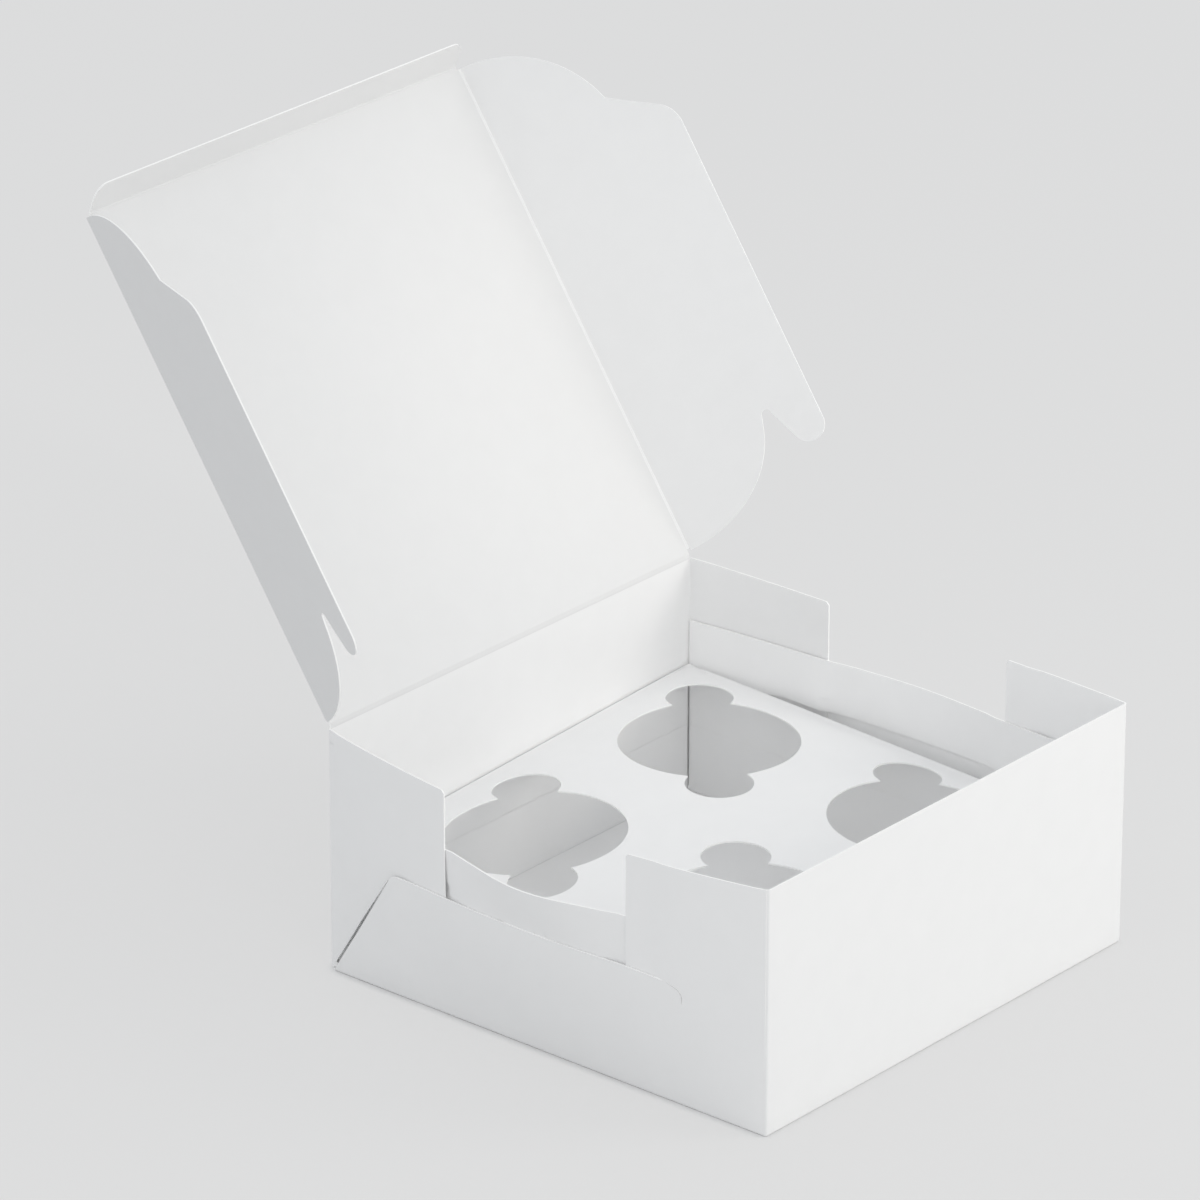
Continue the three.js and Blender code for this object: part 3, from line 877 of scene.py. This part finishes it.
@dataclass
class Insert:
    """The insert: a crowned sheet with four notched holes, on legs folded down from its edges."""

    tray: Tray
    gap: float = 0.45
    edge_height: float = 37.9
    twist: float = 3.6
    crown: float = 4.5
    hole_radius: float = 26.6
    hole_pitch: float = 77.5
    notch_radius: float = 10.0
    notch_offset: float = 30.4
    corner_gap: float = 0.4
    floor_gap: float = 0.1
    crease: float = 1.0
    grid: float = 4.0
    notch_deg: float = 45.0
    hole_steps: int = 44
    notch_steps: int = 26
    fold_step: float = 0.125
    leg_step: float = 0.1

    def __post_init__(self) -> None:
        """Work out the places that follow from the sizes."""
        self.card = self.tray.card
        self.half_x = self.tray.half_width - 2 * self.tray.ply - self.card - self.gap
        self.half_y = self.tray.half_depth - self.card - self.gap
        self.mid_x = self.half_x - self.card / 2
        self.mid_y = self.half_y - self.card / 2
        self.foot = self.card + self.floor_gap
        self.end_x = self.half_x - self.card - self.corner_gap
        self.end_y = self.half_y - self.card - self.corner_gap

    def height(self, x: float, y: float) -> float:
        """Height of the sheet at a place, twisted corner to corner and crowned inside its straight edges.

        Args:
            x: Place across the box.
            y: Place along the box.

        Returns:
            The height.
        """
        across_x = x / self.half_x
        across_y = y / self.half_y
        crown = self.crown * (1 - across_x ** 4) * (1 - across_y ** 4)
        return self.edge_height + self.twist * across_x * across_y + crown

    def hole(self, cx: float, cy: float) -> list[Point]:
        """Outline of one hole with its two finger notches.

        Args:
            cx: Middle of the hole along X.
            cy: Middle of the hole along Y.

        Returns:
            The outline's points.
        """
        big, small, reach = self.hole_radius, self.notch_radius, self.notch_offset
        mouth = math.degrees(math.acos((big * big + reach * reach - small * small) / (2 * big * reach)))
        lip = math.degrees(math.acos((small * small + reach * reach - big * big) / (2 * small * reach)))
        points = []
        for turn in (0, 180):
            facing = 180 + self.notch_deg + turn
            angle = math.radians(facing)
            centre = (cx + reach * math.cos(angle), cy + reach * math.sin(angle))
            first = turn + self.notch_deg + mouth
            points += arc((cx, cy), (big, big), first, facing - mouth, self.hole_steps)[:-1]
            notch = arc(centre, (small, small), facing - 180 + lip, facing + 180 - lip, self.notch_steps)
            points += notch[:-1]
        return points

    def top_sheet(self) -> CardSheet:
        """The sheet with its holes, up to where its edges start to fold.

        Returns:
            The bent sheet.
        """
        x = self.mid_x - self.crease
        y = self.mid_y - self.crease
        pitch = self.hole_pitch / 2
        holes = [self.hole(sx * pitch, sy * pitch) for sx in (-1, 1) for sy in (-1, 1)]
        sheet = CardSheet(self.card)
        sheet.cut([(-x, -y), (x, -y), (x, y), (-x, y)], holes)
        sheet.score([*marks(-x, x, self.grid), -self.end_x, self.end_x],
                    [*marks(-y, y, self.grid), -self.end_y, self.end_y])
        sheet.bend(lambda u, v: Vector((u, v, self.height(u, v))))
        return sheet

    def leg_sheet(self, along_x: bool, sign: int) -> CardSheet:
        """One leg with the rounded fold that joins it to the sheet.

        Args:
            along_x: Whether the leg runs along X, at the front or the rear.
            sign: Which of the two sides it is on.

        Returns:
            The bent sheet.
        """
        end = self.end_x if along_x else self.end_y
        inner = (self.mid_y if along_x else self.mid_x) - self.crease
        reach = (self.mid_x if along_x else self.mid_y) - self.crease
        outer = inner + self.crease

        def place(u: float, v: float) -> Vector:
            """Place a point of the leg.

            Args:
                u: Place along the leg.
                v: Share of the fold up to 1, and from there to 2 share of the leg below it.

            Returns:
                The place in the box.
            """
            point = (u, sign * inner) if along_x else (sign * inner, u)
            top = self.height(*point)
            if v <= 1:
                out = inner + self.crease * (1 - (1 - v) ** 2)
                z = top - self.crease * v * v
            else:
                out = outer
                z = top - self.crease + (self.foot - top + self.crease) * (v - 1)
            return Vector((u, sign * out, z)) if along_x else Vector((sign * out, u, z))

        sheet = CardSheet(self.card)
        sheet.cut([(-end, 0.0), (end, 0.0), (end, 2.0), (-end, 2.0)])
        inside = [line for line in marks(-reach, reach, self.grid) if abs(line) < end]
        sheet.score(inside, [*marks(0.0, 1.0, self.fold_step), *marks(1.0, 2.0, self.leg_step)])
        sheet.bend(place, flip=(sign > 0) == along_x)
        return sheet

    def build(self, board: bpy.types.Material, edge: bpy.types.Material) -> list[bpy.types.Object]:
        """Make the insert as one piece and stand it in the tray.

        Args:
            board: Material of the card's face, lightened as painted light.
            edge: Material of its cut edges.

        Returns:
            The finished piece.
        """
        sheet = self.top_sheet()
        for along_x in (False, True):
            for sign in (-1, 1):
                sheet.add(self.leg_sheet(along_x, sign))
        piece = sheet.finish("insert_sheet", (board, edge, board), Vector((0, 0, 0)))
        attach(piece, "tray")
        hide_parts("insert")
        return [piece]


@dataclass
class Lid:
    """The lid with its two side flaps, front lip and the creases between them."""

    tray: Tray
    open_deg: float = 124.5
    rear_rise: float = 0.4
    rise: float = 0.6
    length: float = 158.5
    side_inset: float = 0.8
    fold_gap: float = 0.5
    flap_deg: float = 65.0
    flap_depth: float = 55.0
    axis_offset: float = 0.3
    rear_reach: float = 30.0
    rear_depth: float = 38.0
    rear_start: float = 1.0
    front_radius: float = 38.5
    front_gap: float = 1.0
    tab_front: float = 44.0
    tab_corner: float = 9.0
    tongue_radius: float = 5.2
    notch_radius: float = 1.6
    notch_shift: float = 4.0
    tongue_reach: float = 14.3
    hinge_bead: float = 0.05
    lip_deg: float = 56.0
    lip_depth: float = 9.8
    lip_inset: float = 1.4
    lip_corner: float = 4.5
    crease: float = 0.7
    crease_step: float = 0.1
    grid: float = 5.0
    lip_grid: float = 2.0

    def __post_init__(self) -> None:
        """Work out the lid's own directions and the places of its folds."""
        self.card = self.tray.card
        angle = math.radians(self.open_deg)
        self.up = Vector((0, -math.cos(angle), math.sin(angle)))
        self.inner = Vector((0, -math.sin(angle), -math.cos(angle)))
        self.hinge = Vector((0, self.tray.half_depth - self.card / 2,
                             self.tray.height + self.rear_rise + self.rise))
        self.fold_x = self.tray.half_width - self.side_inset + self.fold_gap / 2
        self.half = self.fold_x - self.fold_gap / 2
        turn = math.radians(self.flap_deg)
        self.flap_out = math.cos(turn)
        self.flap_in = math.sin(turn)
        self.flap_start = self.crease - self.axis_offset / self.flap_in
        self.corner_x = self.fold_x - self.axis_offset / math.tan(turn)
        self.panel_half = self.corner_x - self.crease

    def at(self, x: float, along: float, inside: float) -> Vector:
        """Place of a point given across, along and inside the lid."""
        return self.hinge + Vector((x, 0, 0)) + self.up * along + self.inner * inside

    def panel(self) -> CardSheet:
        """The flat panel between its four creases.

        Returns:
            The bent sheet.
        """
        low, high = self.crease, self.length - self.crease
        half = self.panel_half
        sheet = CardSheet(self.card)
        sheet.cut([(-half, low), (half, low), (half, high), (-half, high)])
        sheet.score(marks(-half, half, self.grid), marks(low, high, self.grid))
        sheet.bend(lambda u, v: self.at(u, v, 0.0))
        return sheet

    def flap_outline(self) -> list[Point]:
        """Outline of a side flap.

        Returns:
            Points of the distance from the flap's fold and the distance along the lid.
        """
        root = self.flap_start
        edge = self.flap_depth
        rear_centre = self.rear_start + self.rear_reach
        front_centre = self.length - self.front_gap - self.front_radius
        notch = self.rear_depth + self.notch_radius
        tab_front = self.length - self.tab_front
        rear = (self.rear_depth, self.rear_reach)
        tongue = (self.tongue_radius, self.tongue_radius)
        hollow = (self.notch_radius, self.notch_radius)
        corner = (self.tab_corner, self.tab_corner)
        front = (self.front_radius, self.front_radius)
        return [
            (root, self.rear_start),
            *arc((0, rear_centre), rear, -86, -12, 24),
            *arc((notch, rear_centre - self.notch_shift), hollow, 150, 0, 10),
            *arc((edge - self.tongue_radius, self.tongue_reach + self.tongue_radius), tongue, -165, 0, 16),
            *arc((edge - self.tab_corner, tab_front), corner, 0, 62, 10),
            *arc((0, front_centre), front, 18, 88, 26),
            (root, front_centre + self.front_radius),
        ]

    def flap(self, side: Side) -> CardSheet:
        """One side flap beyond its crease.

        Args:
            side: Which side of the lid.

        Returns:
            The bent sheet.
        """
        sheet = CardSheet(self.card)
        sheet.cut(self.flap_outline())
        deep = marks(self.flap_start, self.flap_depth, self.grid)
        sheet.score(deep, marks(self.rear_start, self.length, self.grid))

        def place(d: float, along: float) -> Vector:
            """Place a point of the flap."""
            x = side.value * (self.fold_x + d * self.flap_out)
            return self.at(x, along, self.axis_offset + d * self.flap_in)

        sheet.bend(place, flip=side is Side.LEFT)
        return sheet

    def side_crease(self, side: Side) -> CardSheet:
        """The rounded fold between the lid and one side flap.

        Args:
            side: Which side of the lid.

        Returns:
            The bent sheet.
        """
        start = (self.panel_half, 0.0)
        corner = (self.corner_x, 0.0)
        end = (self.corner_x + self.crease * self.flap_out, self.crease * self.flap_in)
        ends = (self.rear_start + self.crease, self.length - self.front_gap)
        return self.crease_sheet(
            (start, corner, end), ends, lambda x, inside, along: self.at(side.value * x, along, inside),
            flip=side is Side.LEFT)

    def crease_sheet(self, curve: tuple[Point, Point, Point], ends: Point,
                     put: Callable[[float, float, float], Vector], flip: bool = True,
                     bead: float = CREASE_BEAD_MM) -> CardSheet:
        """A narrow strip of card bent along a fold.

        Args:
            curve: Where the fold starts, where its panels would meet, and where it ends.
            ends: First and last place of the strip along the fold.
            put: Gives the place in the box of the curve's two coordinates and a place along the fold.
            flip: Turn the strip's face over.
            bead: Height of the pressed bead.

        Returns:
            The bent sheet.
        """
        low, high = ends
        sheet = CardSheet(self.card)
        sheet.cut([(0.0, low), (1.0, low), (1.0, high), (0.0, high)])
        sheet.score(marks(0.0, 1.0, self.crease_step), marks(low, high, self.grid))
        sheet.bend(lambda t, along: put(*fold_curve(*curve, t, bead), along), flip=flip)
        return sheet

    def lip(self) -> CardSheet:
        """The front lip beyond its crease.

        Returns:
            The bent sheet.
        """
        half = self.half - self.lip_inset
        corner = self.lip_corner
        round_end = (corner, corner)
        turn = math.radians(self.lip_deg)
        sheet = CardSheet(self.card)
        sheet.cut([
            (-half, self.crease),
            (half, self.crease),
            *arc((half - corner, self.lip_depth - corner), round_end, 0, 90, 10),
            *arc((-half + corner, self.lip_depth - corner), round_end, 90, 180, 10),
        ])
        sheet.score(marks(-half, half, self.grid), marks(self.crease, self.lip_depth, self.lip_grid))
        sheet.bend(lambda u, d: self.at(u, self.length + d * math.cos(turn), d * math.sin(turn)))
        return sheet

    def lip_crease(self) -> CardSheet:
        """The rounded fold between the lid and its lip.

        Returns:
            The bent sheet.
        """
        turn = math.radians(self.lip_deg)
        start = (self.length - self.crease, 0.0)
        corner = (self.length, 0.0)
        end = (self.length + self.crease * math.cos(turn), self.crease * math.sin(turn))
        half = self.half - self.lip_inset
        return self.crease_sheet(
            (start, corner, end), (-half, half), lambda along, inside, across: self.at(across, along, inside))

    def hinge_crease(self) -> CardSheet:
        """The rounded fold between the rear wall and the lid.

        Returns:
            The bent sheet.
        """
        half = self.tray.rear_run
        start = (self.hinge.y, self.tray.wall_top)
        corner = (self.hinge.y, self.hinge.z)
        tip = self.hinge + self.up * self.crease
        return self.crease_sheet(
            (start, corner, (tip.y, tip.z)), (-half, half), lambda y, z, across: Vector((across, y, z)),
            bead=self.hinge_bead)

    def build(self, board: bpy.types.Material, edge: bpy.types.Material,
              inside: bpy.types.Material) -> list[bpy.types.Object]:
        """Make the lid's pieces, put each on its body and bend the creases between bodies.

        Args:
            board: Material of the lid, and of the flaps' outside, darkened as painted shade.
            edge: Material of the cut edges.
            inside: Material of the flaps' inside.

        Returns:
            The finished pieces.
        """
        rigid = {
            "lid_panel": (self.panel(), "lid", "lid"),
            "flap_left": (self.flap(Side.LEFT), "side_flap_left", "lid_side_flap_left"),
            "flap_right": (self.flap(Side.RIGHT), "side_flap_right", "lid_side_flap_right"),
            "lip_strip": (self.lip(), "front_lip", "lid_front_lip"),
        }
        pieces = []
        heart = self.at(0, self.length / 2, self.tray.height / 2)
        for name, (sheet, body, node) in rigid.items():
            # The flaps' insides take the plain outside board, lighter than the lid board that is darkened as
            # painted shade.
            within = inside if body.startswith("side_flap") else board
            piece = sheet.finish(name, (board, edge, within), heart)
            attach(piece, body)
            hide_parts(node)
            pieces.append(piece)
        lip_turn = math.radians(self.lip_deg)
        lip_end = self.at(0, self.length + self.crease * math.cos(lip_turn), self.crease * math.sin(lip_turn))
        folds = {
            "crease_hinge": (self.hinge_crease(), "tray", "lid",
                             self.hinge - Vector((0, 0, self.crease)), self.hinge + self.up * self.crease),
            "crease_lip": (self.lip_crease(), "lid", "front_lip",
                           self.at(0, self.length - self.crease, 0), lip_end),
        }
        for side in Side:
            end_x = self.corner_x + self.crease * self.flap_out
            folds[f"crease_{side.name.lower()}"] = (
                self.side_crease(side), "lid", f"side_flap_{side.name.lower()}",
                self.at(side.value * self.panel_half, 0, 0),
                self.at(side.value * end_x, 0, self.crease * self.flap_in),
            )
        for name, (sheet, first, second, start, end) in folds.items():
            within = inside if second.startswith("side_flap") else board
            piece = sheet.finish(name, (board, edge, within), heart)
            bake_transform(piece)
            pieces.append(piece)
        return pieces


def fold_curve(start: Point, corner: Point, end: Point, t: float, bead: float) -> Point:
    """A point on the curve that rounds off a corner, with the bead and grooves of a pressed crease.

    Args:
        start: Where the curve leaves the first panel.
        corner: Where the panels would meet.
        end: Where the curve joins the second panel.
        t: Share of the way along.
        bead: Height of the bead.

    Returns:
        The point's two coordinates.
    """
    first, second, third = (1 - t) ** 2, 2 * t * (1 - t), t * t
    curve = Vector(start) * first + Vector(corner) * second + Vector(end) * third
    inward = (Vector(start) + Vector(end)) / 2 - Vector(corner)
    curve -= inward.normalized() * bead * math.sin(3 * math.pi * t) * math.sin(math.pi * t)
    return (curve.x, curve.y)


@dataclass
class Studio:
    """Floor, light and camera of the photograph."""

    floor_colour: str = "#E0E0E0"
    floor_size: float = 6.0
    floor_glow: float = 0.7
    floor_roughness: float = 0.9
    contact_mm: float = 2.5
    contact_samples: int = 8
    contact_power: float = 2.0
    sky_colour: str = "#FBFDFF"
    sky_strength: float = 0.87
    key_colour: str = "#FFFBF4"
    key_watts: float = 1.1
    key_size: float = 0.6
    key_place: Spot = (-0.6, -0.95, 0.6)
    side_watts: float = 2.0
    side_size: float = 0.4
    side_place: Spot = (0.50, -0.78, 0.42)
    pool_watts: float = 22.0
    pool_size: float = 0.1
    pool_place: Spot = (-0.1, -1.0, 0.65)
    pool_aim: Spot = (0.078, 0.113, 0.127)
    pool_deg: float = 7.0
    bounces: int = 12
    azimuth_deg: float = -49.745
    elevation_deg: float = 23.823
    roll_deg: float = 0.116
    distance_mm: float = 2400.0
    focal_px: float = 8427.3
    frame_px: float = 1200.0
    sensor_mm: float = 36.0
    aside_mm: float = -35.97
    above_mm: float = 101.08
    clip_end: float = 20.0

    def camera(self) -> None:
        """Place the camera where the photograph was taken."""
        az, el, roll = (math.radians(a) for a in (self.azimuth_deg, self.elevation_deg, self.roll_deg))
        back = Vector((math.sin(az) * math.cos(el), -math.cos(az) * math.cos(el), math.sin(el)))
        level = Vector((0, 0, 1)).cross(back).normalized()
        upright = back.cross(level)
        right = level * math.cos(roll) + upright * math.sin(roll)
        up = upright * math.cos(roll) - level * math.sin(roll)
        place = (back * self.distance_mm + right * self.aside_mm + up * self.above_mm) * MM
        data = bpy.data.cameras.new("camera")
        data.sensor_width = self.sensor_mm
        data.sensor_fit = "HORIZONTAL"
        data.lens = self.focal_px / self.frame_px * self.sensor_mm
        data.clip_end = self.clip_end
        camera = bpy.data.objects.new("camera", data)
        turn = Matrix((right, up, back)).transposed().to_4x4()
        camera.matrix_world = Matrix.Translation(place) @ turn
        bpy.context.scene.collection.objects.link(camera)
        bpy.context.scene.camera = camera

    def light(self) -> None:
        """Set the even sky and three soft lamps in front, with enough bounces for white card."""
        world = bpy.data.worlds.new("sky")
        world.use_nodes = True
        background = world.node_tree.nodes["Background"]
        background.inputs["Color"].default_value = linear_colour(self.sky_colour)
        background.inputs["Strength"].default_value = self.sky_strength
        bpy.context.scene.world = world
        self.lamp("key", self.key_watts, self.key_size, self.key_place)
        self.lamp("side", self.side_watts, self.side_size, self.side_place)
        self.pool()
        bpy.context.scene.cycles.diffuse_bounces = self.bounces
        bpy.context.scene.cycles.max_bounces = self.bounces

    def hang(self, data: bpy.types.Light, place: Spot, aim: Spot) -> None:
        """Tint a lamp, hang it and turn it to what it lights.

        Args:
            data: The lamp's data.
            place: Where it hangs, in metres.
            aim: The point that it faces, in metres.
        """
        data.color = linear_colour(self.key_colour)[:3]
        lamp = bpy.data.objects.new(data.name, data)
        lamp.visible_camera = False
        lamp.location = place
        lamp.rotation_euler = (Vector(place) - Vector(aim)).to_track_quat("Z", "Y").to_euler()
        bpy.context.scene.collection.objects.link(lamp)

    def lamp(self, name: str, watts: float, size: float, place: Spot) -> None:
        """Add one soft square lamp that faces the box.

        Args:
            name: The lamp's name.
            watts: Its power.
            size: Its width, in metres.
            place: Where it hangs, in metres.
        """
        data = bpy.data.lights.new(name, "AREA")
        data.energy = watts
        data.size = size
        self.hang(data, place, (0.0, 0.0, 0.0))

    def pool(self) -> None:
        """Add the narrow soft lamp that brightens the lid beside its right fold."""
        data = bpy.data.lights.new("pool", "SPOT")
        data.energy = self.pool_watts
        data.shadow_soft_size = self.pool_size
        data.spot_size = math.radians(self.pool_deg)
        data.spot_blend = 1.0
        self.hang(data, self.pool_place, self.pool_aim)

    def floor(self) -> None:
        """Lay the plain pale floor, which glows to the eye and darkens where card stands on it."""
        pale = linear_colour(self.floor_colour)
        bm = bmesh.new()
        bmesh.ops.create_grid(bm, x_segments=1, y_segments=1, size=self.floor_size / 2)
        mesh = bpy.data.meshes.new("floor")
        bm.to_mesh(mesh)
        bm.free()
        board = NodeBoard("floor_paper")
        board.shader.inputs["Base Color"].default_value = pale
        board.shader.inputs["Roughness"].default_value = self.floor_roughness
        board.shader.inputs["Specular IOR Level"].default_value = 0.0
        glow = board.node("ShaderNodeEmission", inputs={"Color": pale, "Strength": 1.0})
        path = board.node("ShaderNodeLightPath").outputs
        seen = board.maths("MAXIMUM", path["Is Camera Ray"], path["Is Glossy Ray"])
        seen = board.maths("MAXIMUM", seen, path["Is Transmission Ray"])
        contact = board.node("ShaderNodeAmbientOcclusion", {"samples": self.contact_samples},
                             {"Distance": self.contact_mm * MM})
        open_air = board.maths("POWER", contact.outputs["AO"], self.contact_power)
        share = board.maths("MULTIPLY", board.maths("MULTIPLY", seen, self.floor_glow), open_air)
        mix = board.node("ShaderNodeMixShader", inputs={
            0: share, 1: board.shader.outputs["BSDF"], 2: glow.outputs["Emission"]})
        output = board.tree.nodes["Material Output"]
        board.tree.links.new(mix.outputs["Shader"], output.inputs["Surface"])
        mesh.materials.append(board.material)
        floor = bpy.data.objects.new("floor", mesh)
        bpy.context.scene.collection.objects.link(floor)

    def build(self) -> None:
        """Set up floor, light and camera."""
        self.camera()
        self.light()
        self.floor()
        bpy.context.scene.view_settings.view_transform = "Standard"


def main() -> None:
    """Build every piece of the box in order."""
    logging.basicConfig(level=logging.INFO, format="%(message)s")
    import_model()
    Studio().build()
    # The lid board is darkened as painted shade; the inside and insert boards are lightened as painted light,
    # and the cut edge is a painted highlight.
    outside, inside, lid_board_painted_shade, insert_board_painted_light, edge = (
        finish.material() for finish in (OUTSIDE_BOARD, LIT_INSIDE_BOARD, SHADED_LID_BOARD, LIT_INSERT_BOARD, HIGHLIGHT_CUT_EDGE))
    tray = Tray()
    pieces = tray.build(outside, edge, inside)
    pieces += Insert(tray).build(insert_board_painted_light, edge)
    pieces += Lid(tray).build(lid_board_painted_shade, edge, outside)
    for piece in pieces:
        logger.info("%s: %d faces", piece.name, len(piece.data.polygons))


if __name__ == "__main__":
    main()
